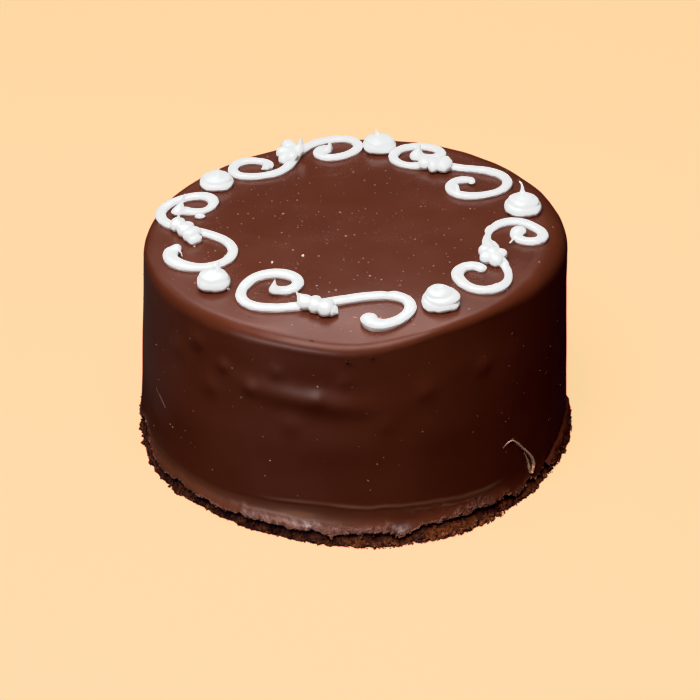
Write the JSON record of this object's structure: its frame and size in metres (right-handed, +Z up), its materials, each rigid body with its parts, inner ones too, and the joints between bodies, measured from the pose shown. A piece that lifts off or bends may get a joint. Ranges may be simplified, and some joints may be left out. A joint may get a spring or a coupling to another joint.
{
  "type": "doberge cake",
  "caption": "Round uncut layer cake in dark chocolate icing with a softly rounded top edge, a torn icing foot and a ring of white piped scrolls, bows and dots on top.",
  "frame": {"origin": "centre of the cake's underside", "axes": "+Z up; -Y is the side that faces the viewer of the picture, +X is to that viewer's right"},
  "size_m": [0.2171, 0.2215, 0.122],
  "materials": {
    "icing": "semi-gloss dark chocolate icing, poured and smoothed, with fine bubbles",
    "crumb": "matte dark cake crumb",
    "piping": "soft satin white icing, piped"
  },
  "bodies": {
    "root": {"iced_cake": "icing", "crumb_foot": "crumb", "scroll_left": "piping", "bow_left": "piping", "scroll_back_left": "piping", "bow_back_left": "piping", "scroll_back_right": "piping", "bow_back_right": "piping", "scroll_right": "piping", "bow_right": "piping", "scroll_front": "piping", "bow_front": "piping", "dot_left_back": "piping", "dot_back": "piping", "dot_right": "piping", "dot_front_right": "piping", "dot_left_front": "piping"}
  },
  "joints": []
}
